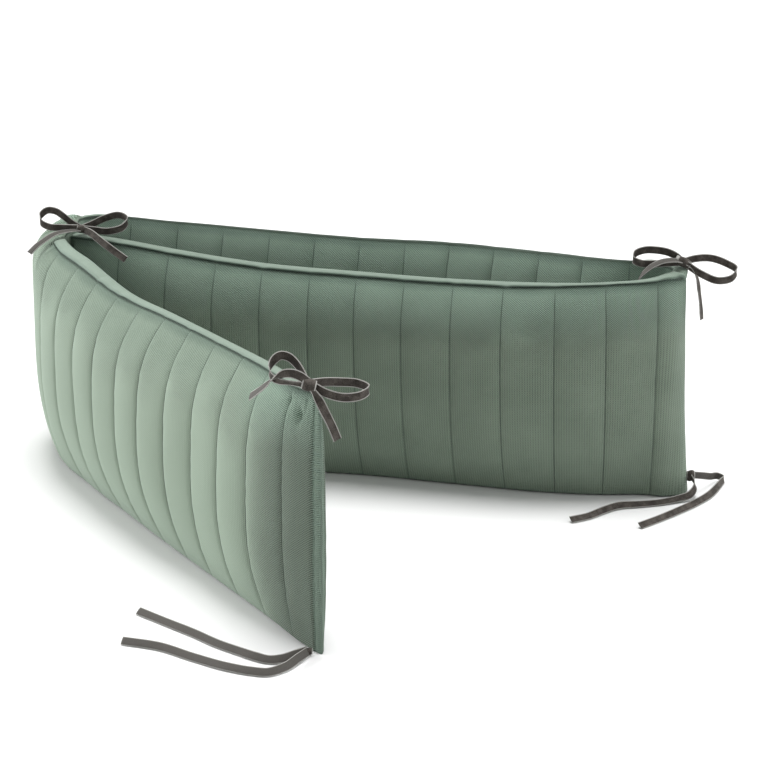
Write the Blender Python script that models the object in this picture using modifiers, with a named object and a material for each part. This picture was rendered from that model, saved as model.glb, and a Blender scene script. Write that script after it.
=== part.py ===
"""Quilted bumper for a crib or playpen, standing on its long edge, folded back on itself twice, with
ribbon ties at its near end and at both folds.

Metres, +Z up, +X to the right and +Y away from the front. The origin is on the floor, under the middle
of the whole thing. The strip runs from its near end, at the front, back to the left fold, then to the
right fold behind, and then forward of that to its inner end beside the left fold. Its outer side faces
away from the turn of both folds.
"""

import math

import bmesh
import bpy
from mathutils import Vector

COLLECTION = "crib_bumper"
CUTTERS = "ribbons_to_unite"

# The padded strip
HEIGHT = 0.333          # floor to crest where nothing sags or rises
EDGE_HALF = 0.011       # half the width of the boxing band, and of the foot
BAND_DROP = 0.008       # the band's outer seam lies this far under the crest
BACK_SEAM_DROP = 0.003  # and its inner seam this far
BELLY_AT = 0.57         # share of the face's height at which the belly is fullest
BELLY_TOP_POWER = 3.2   # the shoulder under the seam is full
BELLY_FOOT_POWER = 1.9  # the face runs in more slowly to the foot
STITCH_LINES = 40       # the near end's seam is line 0, the inner end's is line 40
CHANNEL_STEPS = 4       # columns in a channel on a straight stretch
FOLD_STEPS = 8          # and round the tight fold
TIGHT_FOLD = (26, 28)   # the lines that the tight fold lies between
END_ROUND = 0.008       # how far the boxed end stands out past its seam

# The ribbons
RIBBON_WIDTH = 0.011
RIBBON_THICKNESS = 0.0015
RIBBON_STEP = 0.007     # distance between the places at which a ribbon is shaped
KNOT_SIZE = (0.013, 0.012, 0.012)
ROOT_SIZE = (0.009, 0.011, 0.009)
KNOT_ROUND = 0.003

# The strip's route, a row for each line or part of a fold. x and y are the middle of the strip, and rise
# is how far its crest stands over HEIGHT. crest_in is how far the crest is drawn to the inner side and
# foot_out how far the foot is shifted to the outer side. belly_out and belly_in are how far the two
# faces swell past the edges, and puff is how far a channel stands over its lines.
ROUTE_COLUMNS = ("line", "x", "y", "rise", "crest_in", "foot_out", "belly_out", "belly_in", "puff")
ROUTE = (
    # front panel, from the near end
    (0.0, -0.058, -0.408, 0.000, 0.000, 0.002, 0.004, 0.004, 0.003),
    (1.0, -0.079, -0.368, 0.000, 0.000, 0.003, 0.019, 0.012, 0.004),
    (2.0, -0.113, -0.305, -0.002, 0.000, 0.006, 0.030, 0.018, 0.005),
    (4.0, -0.187, -0.183, -0.003, 0.000, 0.010, 0.035, 0.020, 0.005),
    (6.0, -0.263, -0.069, -0.003, 0.000, 0.008, 0.043, 0.020, 0.005),
    (8.0, -0.339, 0.045, 0.001, 0.000, 0.004, 0.043, 0.020, 0.005),
    (10.0, -0.410, 0.164, 0.006, 0.000, 0.006, 0.042, 0.018, 0.005),
    (11.0, -0.448, 0.229, 0.008, 0.001, 0.006, 0.034, 0.014, 0.004),
    # left fold
    (12.0, -0.475, 0.296, 0.008, 0.009, 0.004, 0.027, 0.008, 0.003),
    (13.0, -0.480, 0.364, 0.009, 0.024, 0.002, 0.026, 0.008, 0.003),
    (13.6, -0.462, 0.403, 0.010, 0.018, 0.001, 0.027, 0.010, 0.003),
    # back panel
    (14.0, -0.442, 0.422, 0.010, 0.008, 0.000, 0.028, 0.012, 0.003),
    (16.0, -0.299, 0.398, 0.008, 0.000, 0.000, 0.032, 0.020, 0.003),
    (18.0, -0.154, 0.353, 0.005, 0.000, 0.000, 0.034, 0.022, 0.003),
    (20.0, -0.017, 0.312, 0.002, 0.000, 0.000, 0.034, 0.022, 0.003),
    (22.0, 0.117, 0.276, 0.003, 0.000, 0.000, 0.034, 0.022, 0.003),
    (24.0, 0.246, 0.213, 0.005, 0.000, 0.002, 0.030, 0.018, 0.003),
    (26.0, 0.369, 0.153, 0.008, 0.000, 0.005, 0.020, 0.010, 0.003),
    # right fold, nearly closed
    (26.45, 0.400, 0.148, 0.008, 0.000, 0.008, 0.014, 0.006, 0.002),
    (26.8, 0.423, 0.138, 0.006, 0.000, 0.011, 0.010, 0.003, 0.002),
    (27.15, 0.434, 0.115, 0.004, 0.000, 0.014, 0.008, 0.002, 0.002),
    (27.5, 0.423, 0.092, 0.003, 0.000, 0.006, 0.009, 0.003, 0.002),
    (27.8, 0.405, 0.085, 0.003, 0.000, -0.008, 0.011, 0.006, 0.003),
    # middle panel, to the inner end
    (28.0, 0.391, 0.084, 0.003, 0.000, -0.018, 0.014, 0.008, 0.003),
    (29.0, 0.319, 0.079, -0.003, 0.000, -0.032, 0.022, 0.012, 0.003),
    (30.0, 0.251, 0.086, -0.008, 0.000, -0.034, 0.028, 0.016, 0.003),
    (32.0, 0.116, 0.122, -0.014, 0.000, -0.034, 0.032, 0.020, 0.003),
    (34.0, -0.019, 0.160, -0.013, 0.000, -0.034, 0.032, 0.020, 0.003),
    (36.0, -0.155, 0.192, -0.009, 0.000, -0.026, 0.031, 0.020, 0.003),
    (38.0, -0.295, 0.247, -0.001, 0.000, -0.012, 0.025, 0.016, 0.003),
    (39.0, -0.368, 0.285, 0.003, 0.000, -0.005, 0.016, 0.010, 0.003),
    (40.0, -0.428, 0.316, 0.005, 0.000, 0.000, 0.004, 0.004, 0.003),
)

# Shares of a face's height at which a section has its points, from the foot up
OUTER_ROWS = (0.0, 0.06, 0.18, 0.34, 0.52, 0.68, 0.82, 0.93)
INNER_ROWS = (0.97, 0.90, 0.77, 0.60, 0.40, 0.20, 0.06, 0.0)

# The band over the top, from its outer seam to its inner one, as shares of EDGE_HALF across and of
# BAND_DROP down from the crest
BAND_PROFILE = ((0.90, 1.0), (1.20, 0.60), (0.95, 0.20), (0.28, 0.0), (-0.55, 0.04), (-0.95, 0.35))

# The boxed end from its seam outwards, as shares of END_ROUND and of the section's width
END_PROFILE = ((0.0, 0.76), (0.6, 0.62), (1.0, 0.32))

# The ribbons' routes, a row for each place that a ribbon goes through. lean is how far it is turned up
# about its route, in degrees: 0 lies flat, 90 stands on its edge.
RIBBON_COLUMNS = ("x", "y", "z", "lean")

NEAR_KNOT = (-0.067, -0.420, 0.341)
NEAR_TOP = {
    "right_loop": (
        (-0.066, -0.420, 0.341, 90),
        (-0.050, -0.408, 0.339, 90),
        (-0.032, -0.399, 0.336, 90),
        (-0.012, -0.398, 0.334, 90),
        (0.001, -0.409, 0.331, 90),
        (-0.008, -0.424, 0.328, 90),
        (-0.026, -0.429, 0.327, 90),
        (-0.046, -0.427, 0.331, 90),
        (-0.064, -0.421, 0.339, 90),
    ),
    "left_loop": (
        (-0.068, -0.420, 0.341, 90),
        (-0.080, -0.410, 0.352, 90),
        (-0.092, -0.402, 0.362, 90),
        (-0.104, -0.400, 0.366, 90),
        (-0.112, -0.408, 0.360, 90),
        (-0.110, -0.420, 0.350, 90),
        (-0.096, -0.427, 0.345, 90),
        (-0.071, -0.421, 0.341, 90),
    ),
    "left_tail": (
        (-0.068, -0.423, 0.342, 80),
        (-0.081, -0.428, 0.348, 80),
        (-0.096, -0.424, 0.348, 85),
        (-0.111, -0.415, 0.340, 90),
        (-0.125, -0.402, 0.328, 90),
        (-0.136, -0.390, 0.316, 90),
    ),
    "right_tail": (
        (-0.066, -0.423, 0.339, 60),
        (-0.058, -0.428, 0.328, 80),
        (-0.049, -0.427, 0.309, 90),
        (-0.041, -0.423, 0.290, 90),
        (-0.035, -0.420, 0.273, 90),
    ),
}

LEFT_KNOT = (-0.436, 0.319, 0.3485)
LEFT_TOP = {
    "left_loop": (
        (-0.440, 0.319, 0.347, 90),
        (-0.453, 0.325, 0.355, 90),
        (-0.468, 0.329, 0.366, 90),
        (-0.485, 0.328, 0.371, 90),
        (-0.498, 0.318, 0.366, 90),
        (-0.494, 0.305, 0.357, 90),
        (-0.472, 0.302, 0.353, 90),
        (-0.444, 0.316, 0.348, 90),
    ),
    "right_loop": (
        (-0.438, 0.319, 0.347, 90),
        (-0.424, 0.324, 0.352, 90),
        (-0.401, 0.326, 0.362, 90),
        (-0.381, 0.321, 0.367, 90),
        (-0.367, 0.308, 0.362, 90),
        (-0.373, 0.295, 0.354, 90),
        (-0.392, 0.291, 0.349, 90),
        (-0.415, 0.302, 0.348, 90),
        (-0.436, 0.316, 0.347, 90),
    ),
    "left_tail": (
        (-0.441, 0.317, 0.347, 15),
        (-0.462, 0.299, 0.352, 5),
        (-0.482, 0.281, 0.349, 0),
        (-0.497, 0.265, 0.338, 0),
        (-0.507, 0.251, 0.325, 0),
    ),
    "right_tail": (
        (-0.437, 0.316, 0.346, 30),
        (-0.422, 0.294, 0.347, 45),
        (-0.403, 0.270, 0.340, 55),
        (-0.383, 0.256, 0.329, 60),
        (-0.364, 0.249, 0.317, 60),
    ),
}

RIGHT_KNOT = (0.4385, 0.115, 0.3465)
RIGHT_TOP = {
    "left_loop": (
        (0.437, 0.116, 0.347, 90),
        (0.424, 0.122, 0.352, 90),
        (0.404, 0.128, 0.357, 90),
        (0.384, 0.126, 0.359, 90),
        (0.369, 0.117, 0.353, 90),
        (0.373, 0.106, 0.347, 90),
        (0.393, 0.101, 0.346, 90),
        (0.415, 0.105, 0.347, 90),
        (0.436, 0.114, 0.346, 90),
    ),
    "right_loop": (
        (0.440, 0.116, 0.347, 90),
        (0.456, 0.121, 0.350, 90),
        (0.479, 0.124, 0.350, 90),
        (0.500, 0.118, 0.344, 90),
        (0.513, 0.106, 0.337, 90),
        (0.505, 0.094, 0.329, 90),
        (0.485, 0.090, 0.326, 90),
        (0.463, 0.098, 0.333, 90),
        (0.441, 0.113, 0.345, 90),
    ),
    "left_tail": (
        (0.436, 0.117, 0.347, 0),
        (0.423, 0.118, 0.351, 0),
        (0.407, 0.118, 0.348, 0),
        (0.393, 0.117, 0.338, 0),
        (0.384, 0.116, 0.327, 0),
        (0.379, 0.116, 0.314, 0),
    ),
    "right_tail": (
        (0.441, 0.113, 0.346, 0),
        (0.450, 0.110, 0.341, 0),
        (0.458, 0.108, 0.326, 0),
        (0.462, 0.107, 0.306, 0),
        (0.465, 0.106, 0.286, 0),
        (0.466, 0.105, 0.266, 0),
    ),
}

NEAR_ROOT = (-0.071, -0.420, 0.0060)
NEAR_FLOOR = {
    "upper": (
        (-0.073, -0.420, 0.0064, 62),
        (-0.086, -0.430, 0.0068, 35),
        (-0.100, -0.438, 0.0050, 12),
        (-0.118, -0.440, 0.0028, 0),
        (-0.134, -0.433, 0.0025, 0),
        (-0.154, -0.418, 0.0015, 0),
        (-0.182, -0.397, 0.0013, 0),
        (-0.213, -0.369, 0.0022, 0),
        (-0.251, -0.336, 0.0015, 0),
        (-0.289, -0.304, 0.0020, 0),
    ),
    "lower": (
        (-0.072, -0.422, 0.0068, 60),
        (-0.083, -0.440, 0.0068, 35),
        (-0.098, -0.462, 0.0050, 12),
        (-0.117, -0.473, 0.0022, 0),
        (-0.137, -0.470, 0.0020, 0),
        (-0.165, -0.459, 0.0030, 0),
        (-0.207, -0.434, 0.0018, 0),
        (-0.252, -0.405, 0.0028, 0),
        (-0.298, -0.389, 0.0016, 0),
    ),
}

RIGHT_ROOT = (0.4650, 0.114, 0.0260)
RIGHT_FLOOR = {
    "outer": (
        (0.466, 0.115, 0.0270, 85),
        (0.482, 0.124, 0.0225, 90),
        (0.500, 0.144, 0.0135, 90),
        (0.514, 0.158, 0.0085, 90),
        (0.521, 0.152, 0.0075, 80),
        (0.515, 0.137, 0.0065, 60),
        (0.504, 0.115, 0.0040, 20),
        (0.490, 0.091, 0.0016, 0),
        (0.466, 0.061, 0.0014, 0),
        (0.439, 0.033, 0.0020, 0),
        (0.407, 0.003, 0.0014, 0),
        (0.374, -0.026, 0.0022, 0),
    ),
    "inner": (
        (0.466, 0.112, 0.0250, 80),
        (0.470, 0.097, 0.0180, 70),
        (0.461, 0.081, 0.0095, 50),
        (0.440, 0.072, 0.0040, 15),
        (0.412, 0.062, 0.0014, 0),
        (0.385, 0.055, 0.0022, 0),
        (0.352, 0.046, 0.0052, 40),
        (0.330, 0.030, 0.0040, 20),
        (0.306, 0.010, 0.0016, 0),
        (0.280, -0.004, 0.0020, 0),
    ),
}

# Each tie: its knot or sewn root, that piece's place, and its ribbons
TIES = {
    "tie_near_top": (KNOT_SIZE, NEAR_KNOT, NEAR_TOP),
    "tie_left_top": (KNOT_SIZE, LEFT_KNOT, LEFT_TOP),
    "tie_right_top": (KNOT_SIZE, RIGHT_KNOT, RIGHT_TOP),
    "tie_near_floor": (ROOT_SIZE, NEAR_ROOT, NEAR_FLOOR),
    "tie_right_floor": (ROOT_SIZE, RIGHT_ROOT, RIGHT_FLOOR),
}


def new_material(name, colour, roughness):
    """A plain Principled material."""
    material = bpy.data.materials.new(name)
    material.use_nodes = True
    shader = material.node_tree.nodes["Principled BSDF"]
    shader.inputs["Base Color"].default_value = (*colour, 1.0)
    shader.inputs["Roughness"].default_value = roughness
    shader.inputs["Metallic"].default_value = 0.0
    return material


def new_object(name, bm, material, collection):
    """Turn a bmesh into a named object in a collection."""
    mesh = bpy.data.meshes.new(name)
    bmesh.ops.recalc_face_normals(bm, faces=bm.faces)
    bm.to_mesh(mesh)
    bm.free()
    mesh.materials.append(material)
    mesh.shade_smooth()
    mesh.set_sharp_from_angle(angle=math.radians(50))
    item = bpy.data.objects.new(name, mesh)
    bpy.data.collections[collection].objects.link(item)
    return item


def hermite(left, right, slope_left, slope_right, gap, share):
    """The cubic between two values with given slopes, at a share of the gap."""
    square = share * share
    cube = square * share
    return (
        (2 * cube - 3 * square + 1) * left
        + (cube - 2 * square + share) * gap * slope_left
        + (3 * square - 2 * cube) * right
        + (cube - square) * gap * slope_right
    )


def slope_at(rows, index, column):
    """The slope of a column at a row, from the rows on both sides, weighed by their distance."""
    if index == 0:
        return (rows[1][column] - rows[0][column]) / (rows[1][0] - rows[0][0])
    if index == len(rows) - 1:
        return (rows[-1][column] - rows[-2][column]) / (rows[-1][0] - rows[-2][0])
    before, here, after = rows[index - 1], rows[index], rows[index + 1]
    gap_before = here[0] - before[0]
    gap_after = after[0] - here[0]
    rate_before = (here[column] - before[column]) / gap_before
    rate_after = (after[column] - here[column]) / gap_after
    return (rate_before * gap_after + rate_after * gap_before) / (gap_before + gap_after)


def route_at(line):
    """Every column of the route at a line number, read from a smooth curve through its rows."""
    index = 0
    while index < len(ROUTE) - 2 and line > ROUTE[index + 1][0]:
        index += 1
    gap = ROUTE[index + 1][0] - ROUTE[index][0]
    share = (line - ROUTE[index][0]) / gap
    values = {}
    for column, name in enumerate(ROUTE_COLUMNS[1:], start=1):
        values[name] = hermite(
            ROUTE[index][column],
            ROUTE[index + 1][column],
            slope_at(ROUTE, index, column),
            slope_at(ROUTE, index + 1, column),
            gap,
            share,
        )
    return values


def heading_at(line):
    """The direction in which the strip runs, level."""
    step = 0.02
    before = route_at(max(line - step, 0.0))
    after = route_at(min(line + step, float(STITCH_LINES)))
    return Vector((after["x"] - before["x"], after["y"] - before["y"], 0.0)).normalized()


def belly_share(share):
    """How full a face is at a share of its height: 0 at the foot and the seam, 1 at the belly."""
    if share > BELLY_AT:
        return 1.0 - ((share - BELLY_AT) / (1.0 - BELLY_AT)) ** BELLY_TOP_POWER
    return 1.0 - ((BELLY_AT - share) / BELLY_AT) ** BELLY_FOOT_POWER


def section(line, width=1.0, out=0.0):
    """The points of one section, from the foot up the outer face, over the band and down the inner face.

    width narrows the section about its middle, and out moves it along the strip past an end.
    """
    row = route_at(line)
    heading = heading_at(line)
    outer = Vector((-heading.y, heading.x, 0.0))
    crest = HEIGHT + row["rise"]
    middle = Vector((row["x"], row["y"], 0.0)) + heading * out
    channel = abs(math.sin(math.pi * line)) ** 0.8
    points = []

    def add(across, height, lean):
        points.append(middle + outer * (across * width + lean) + Vector((0.0, 0.0, height)))

    def face_point(side, belly, top, share):
        swell = (belly + row["puff"] * channel) * belly_share(share)
        drawn = max(0.0, (share - BELLY_AT) / (1.0 - BELLY_AT)) ** 2
        lean = row["foot_out"] * (1.0 - share) - row["crest_in"] * drawn
        add(side * (EDGE_HALF + swell), share * top, lean)

    for share in OUTER_ROWS:
        face_point(1, row["belly_out"], crest - BAND_DROP, share)
    for across, drop in BAND_PROFILE:
        add(across * EDGE_HALF, crest - drop * BAND_DROP, -row["crest_in"])
    for share in INNER_ROWS:
        face_point(-1, row["belly_in"], crest - BACK_SEAM_DROP, share)
    return points


def stations():
    """Line numbers of the sections, closer round the tight fold."""
    lines = []
    for line in range(STITCH_LINES):
        steps = FOLD_STEPS if TIGHT_FOLD[0] <= line < TIGHT_FOLD[1] else CHANNEL_STEPS
        lines.extend(line + step / steps for step in range(steps))
    lines.append(float(STITCH_LINES))
    return lines


def build_pad(material):
    """Loft the sections into one closed filled strip with boxed ends."""
    last = float(STITCH_LINES)
    sections = [section(0.0, width, -out * END_ROUND) for out, width in reversed(END_PROFILE)]
    sections += [section(line) for line in stations()[1:-1]]
    sections += [section(last, width, out * END_ROUND) for out, width in END_PROFILE]

    bm = bmesh.new()
    rings = [[bm.verts.new(point) for point in points] for points in sections]
    for ring, following in zip(rings, rings[1:]):
        for index in range(len(ring)):
            after = (index + 1) % len(ring)
            bm.faces.new((ring[index], ring[after], following[after], following[index]))
    bm.faces.new(rings[0])
    bm.faces.new(rings[-1])
    return new_object("pad", bm, material, COLLECTION)


def ribbon_stations(rows):
    """Places and leans along a ribbon, about RIBBON_STEP apart, on a smooth curve through its rows."""
    keyed = [(0.0, *rows[0])]
    for before, here in zip(rows, rows[1:]):
        keyed.append((keyed[-1][0] + math.dist(before[:3], here[:3]), *here))
    stops = [keyed[0][1:]]
    for index in range(len(keyed) - 1):
        gap = keyed[index + 1][0] - keyed[index][0]
        steps = max(1, round(gap / RIBBON_STEP))
        for step in range(1, steps + 1):
            stops.append(tuple(
                hermite(
                    keyed[index][column],
                    keyed[index + 1][column],
                    slope_at(keyed, index, column),
                    slope_at(keyed, index + 1, column),
                    gap,
                    step / steps,
                )
                for column in range(1, len(RIBBON_COLUMNS) + 1)
            ))
    return stops


def build_ribbon(name, rows, material):
    """One length of ribbon: an open strip across its route, given its thickness."""
    stops = ribbon_stations(rows)
    bm = bmesh.new()
    pairs = []
    for index, (x, y, z, lean) in enumerate(stops):
        before = Vector(stops[max(index - 1, 0)][:3])
        after = Vector(stops[min(index + 1, len(stops) - 1)][:3])
        along = (after - before).normalized()
        level = along.cross(Vector((0.0, 0.0, 1.0))).normalized()
        raised = level.cross(along)
        angle = math.radians(lean)
        across = (level * math.cos(angle) + raised * math.sin(angle)) * RIBBON_WIDTH / 2
        place = Vector((x, y, z))
        pairs.append((bm.verts.new(place - across), bm.verts.new(place + across)))
    for (low, high), (next_low, next_high) in zip(pairs, pairs[1:]):
        bm.faces.new((low, high, next_high, next_low))
    item = new_object(name, bm, material, CUTTERS)
    thicken = item.modifiers.new("thickness", "SOLIDIFY")
    thicken.thickness = RIBBON_THICKNESS
    thicken.offset = 0.0
    item.hide_render = True
    item.display_type = "WIRE"
    return item


def build_tie(name, size, place, ribbons, material):
    """A soft knot, or a root where the ribbons are sewn on, united with its ribbons into one body."""
    bm = bmesh.new()
    bmesh.ops.create_cube(bm, size=1.0)
    bmesh.ops.scale(bm, vec=size, verts=bm.verts)
    bmesh.ops.bevel(
        bm, geom=bm.edges, offset=KNOT_ROUND, segments=2, profile=0.5, affect="EDGES", material=-1
    )
    bmesh.ops.translate(bm, vec=place, verts=bm.verts)
    item = new_object(name, bm, material, COLLECTION)
    for ribbon_name, rows in ribbons.items():
        union = item.modifiers.new(ribbon_name, "BOOLEAN")
        union.operation = "UNION"
        union.object = build_ribbon(f"{name}_{ribbon_name}", rows, material)
    return item


def main():
    for item in list(bpy.data.objects):
        bpy.data.objects.remove(item, do_unlink=True)
    for name in (COLLECTION, CUTTERS):
        bpy.context.scene.collection.children.link(bpy.data.collections.new(name))

    waffle = new_material("sage_waffle", (0.34, 0.45, 0.37), 0.9)
    velvet = new_material("taupe_velvet", (0.10, 0.085, 0.08), 0.7)
    build_pad(waffle)
    for name, (size, place, ribbons) in TIES.items():
        build_tie(name, size, place, ribbons, velvet)


main()
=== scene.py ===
"""Looks of the quilted bumper, folded back on itself twice, with its velvet ribbon ties.

Metres, +Z up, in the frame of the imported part. The pad's cover is one filled piece lofted along the
strip's route, and each ribbon is a thin strip of cloth along its own. Places along the strip are given
in stitch lines, from 0 at the near end to 40 at the hidden inner end.
"""

import math
from types import SimpleNamespace

import bmesh
import bpy
from mathutils import Matrix, Vector, noise


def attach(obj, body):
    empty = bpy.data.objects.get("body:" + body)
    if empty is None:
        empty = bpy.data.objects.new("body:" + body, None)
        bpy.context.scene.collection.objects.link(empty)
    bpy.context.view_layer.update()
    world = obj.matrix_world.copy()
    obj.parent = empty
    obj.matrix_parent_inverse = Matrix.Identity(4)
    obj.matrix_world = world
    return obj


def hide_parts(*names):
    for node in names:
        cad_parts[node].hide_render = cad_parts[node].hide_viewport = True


# ---------------------------------------------------------------- sizes

# The padded strip
HEIGHT = 0.333
EDGE_HALF = 0.011        # half the width of the foot
EDGE_TOP = 0.0074        # half the width of the band over the top
END_SLIM = 0.61          # how thin the near end is, as a share of the rest
FOOT_ROUND = 0.45        # how far the edges of the foot are rounded off, as a share of half its width
BAND_DROP = 0.0044       # how far down the band's profile a drop of 1 is
INNER_SEAM_DROP = 0.003  # how far the band's inner seam lies under the crest
BELLY_AT = 0.57          # share of the height where a face is fullest
BELLY_TOP_POWER = 3.2    # how late a face draws in above it
BELLY_FOOT_POWER = 2.6   # and below it
COMMON_BELLY = 0.032     # the belly by which the cloth is measured round a section
STITCH_LINES = 40
LINE_SPACE = 0.072       # distance between stitch lines, for what falls away from them
END_ROUND = 0.008        # how far a boxed end stands out
MERGE = 0.00002          # points nearer than this are one

# Where sections cut the cover: shares of an ordinary channel, and even cuts where a tie gathers it
CHANNEL_CUTS = (0.0, 0.02, 0.055, 0.11, 0.19, 0.29, 0.40, 0.50, 0.60, 0.71, 0.81, 0.89, 0.945, 0.98)
GATHERED_CHANNELS = (0, 11, 12, 13, 26, 27)
GATHERED_CUTS = 40

# Steps round a section, and how much closer together they are at the edges of a face
OUTER_STEPS = 46
INNER_STEPS = 34
BAND_STEPS = 14
FOOT_STEPS = 4
CROWD = 0.72

# Channels, stitch lines and seams
PILLOW_POWER = 2.4       # how round a channel is across
GROOVE_DEPTH = 0.0012    # a stitch line's own groove
GROOVE_WIDTH = 0.0030
GROOVE_FADE = 3.0        # how soon it is whole, away from the foot and the seam
SEAM_DEPTH = 0.0030      # how far the cover tucks in under the outer seam
SEAM_WIDTH = 0.0035
INNER_TUCK = 0.4         # the same under the inner seam, as a share of it

# How far the foot lags along the strip beside the right fold, where it lags most, and its reach in lines
FOOT_SKEW = 0.010
FOOT_SKEW_AT = 28.9
FOOT_SKEW_REACH = 1.6

# Unevenness of the faces: how often it turns in a line and up a metre, and its seeds outside and inside
RIPPLE = (0.9, 9.0, 7.3, -7.3)
PUCKER = (2.2, 95.0, 4.1, 2.1)
GATHER = (16.0, 14.0, 12.7, 10.7)
RIPPLE_HEIGHT = 0.0018
PUCKER_HEIGHT = 0.0008
PUCKER_REACH = 0.010     # from a stitch line
GATHER_HEIGHT = 0.0013
GATHER_REACH = 0.030     # down from the crest
RUFFLE_FADE = 2.0        # how soon all of it is whole, away from the foot and the seam

# The pleats where cloth is gathered by a tie: line, reach in lines, and how strong they are
GATHERED = (
    (12.9, 0.85, 1.0),
    (27.2, 0.40, 0.7),
    (0.3, 0.60, 0.1),
)
PLEATS_A_LINE = 5.5      # pleats between two stitch lines
PLEAT_DEPTH = 0.0040
PLEAT_RIDGE = 0.8        # a pleat's ridge and its crease, as shares of that depth
PLEAT_CREASE = -1.2
PLEAT_REACH = 0.045      # down from the crest
PLEAT_WANDER = 0.9       # how much the gathers push the pleats along

# The route of the strip: the line, the place of the pad's middle, how far the crest rises over the height
# and leans inwards, how far the foot stands outwards, how full the outer and the inner face are, and how
# far each channel puffs out
ROUTE_COLUMNS = ("line", "x", "y", "rise", "crest_in", "foot_out", "belly_out", "belly_in", "puff")
ROUTE = (
    (0.0, -0.058, -0.408, -0.004, 0.000, 0.002, 0.004, 0.004, 0.003),
    (1.0, -0.079, -0.368, -0.007, -0.004, 0.003, 0.018, 0.012, 0.003),
    (2.0, -0.113, -0.305, -0.0095, 0.000, 0.006, 0.031, 0.018, 0.0035),
    (4.0, -0.187, -0.183, -0.011, 0.000, 0.010, 0.036, 0.020, 0.0035),
    (6.0, -0.263, -0.069, -0.0105, 0.000, 0.008, 0.044, 0.020, 0.0035),
    (8.0, -0.339, 0.045, -0.0105, 0.000, 0.004, 0.044, 0.020, 0.0035),
    (9.0, -0.375, 0.1035, -0.004, 0.000, 0.005, 0.043, 0.019, 0.0035),
    (10.0, -0.410, 0.164, 0.003, 0.000, 0.006, 0.042, 0.018, 0.0035),
    (11.0, -0.448, 0.229, 0.0065, 0.001, 0.006, 0.034, 0.013, 0.003),
    (12.0, -0.475, 0.296, 0.008, 0.007, 0.004, 0.025, 0.004, 0.003),
    (13.0, -0.480, 0.364, 0.010, 0.020, 0.002, 0.024, 0.005, 0.003),
    (13.6, -0.464, 0.405, 0.013, 0.008, 0.001, 0.026, 0.010, 0.003),
    (14.0, -0.442, 0.422, 0.012, 0.003, 0.000, 0.028, 0.012, 0.003),
    (16.0, -0.299, 0.398, 0.008, 0.000, 0.000, 0.032, 0.020, 0.003),
    (18.0, -0.154, 0.353, 0.005, 0.000, 0.000, 0.034, 0.022, 0.003),
    (20.0, -0.017, 0.312, 0.002, 0.000, 0.000, 0.034, 0.022, 0.003),
    (22.0, 0.117, 0.276, 0.003, 0.000, 0.000, 0.034, 0.022, 0.003),
    (24.0, 0.246, 0.213, 0.005, 0.000, 0.002, 0.030, 0.018, 0.003),
    (26.0, 0.369, 0.153, 0.008, 0.000, 0.005, 0.020, 0.010, 0.003),
    (26.45, 0.400, 0.149, 0.008, 0.000, 0.009, 0.010, 0.005, 0.002),
    (26.8, 0.422, 0.138, 0.006, 0.000, 0.014, 0.002, 0.002, 0.001),
    (27.15, 0.4345, 0.115, 0.005, 0.000, 0.0175, -0.0035, 0.001, 0.001),
    (27.5, 0.424, 0.093, 0.003, 0.000, -0.007, 0.003, 0.002, 0.001),
    (27.8, 0.410, 0.085, 0.0025, 0.000, -0.019, 0.008, 0.005, 0.002),
    (28.0, 0.398, 0.084, -0.001, 0.000, -0.024, 0.012, 0.007, 0.002),
    (29.0, 0.3255, 0.079, -0.007, 0.000, -0.032, 0.022, 0.012, 0.003),
    (30.0, 0.2575, 0.086, -0.010, 0.000, -0.034, 0.028, 0.016, 0.003),
    (32.0, 0.118, 0.122, -0.014, 0.000, -0.034, 0.032, 0.020, 0.003),
    (34.0, -0.019, 0.160, -0.013, 0.000, -0.034, 0.032, 0.020, 0.003),
    (36.0, -0.155, 0.192, -0.009, 0.000, -0.026, 0.031, 0.020, 0.003),
    (38.0, -0.295, 0.247, -0.001, 0.000, -0.012, 0.025, 0.016, 0.003),
    (39.0, -0.373, 0.288, 0.003, 0.000, -0.005, 0.014, 0.010, 0.003),
    (40.0, -0.450, 0.330, 0.004, 0.000, 0.000, 0.002, 0.002, 0.003),
)

# How full the band is along the strip: the line, and its width as a share of the usual. Its drop goes with
# the square of that.
BAND_FULLNESS = (
    (0.0, 0.85),
    (2.0, 0.80),
    (6.0, 0.80),
    (7.5, 0.90),
    (8.6, 1.06),
    (10.0, 1.20),
    (11.0, 1.20),
    (12.0, 1.05),
    (14.5, 1.00),
    (26.6, 1.00),
    (27.15, 1.25),
    (27.45, 1.30),
    (27.8, 1.00),
    (31.0, 0.95),
    (35.0, 1.00),
    (40.0, 1.00),
)

# The band over the top, from its outer to its inner seam: the share of the way, how far across as a share of
# EDGE_TOP, and how far down from the crest as a share of BAND_DROP
BAND_PROFILE = (
    (0.0, 0.86, 1.04),
    (0.2, 1.18, 0.66),
    (0.4, 0.98, 0.26),
    (0.6, 0.30, 0.08),
    (0.8, -0.50, 0.02),
    (1.0, -0.96, 0.10),
)
# The same over the back panel, where it falls away outwards from the inner seam
BACK_PROFILE = (
    (0.0, 0.92, 2.10),
    (0.2, 1.10, 1.70),
    (0.4, 0.62, 1.25),
    (0.6, 0.10, 0.85),
    (0.8, -0.48, 0.42),
    (1.0, -0.92, 0.12),
)
BACK_RISE = (14.2, 14.8)
BACK_FALL = (25.9, 26.5)
BAND_SCALLOP = 0.0007    # how far the band dips where a stitch line meets it
SCALLOP_WIDTH = 0.009
LUMP_FADE = 1.1          # share of the way over the band at which its lumps would be gone

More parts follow.
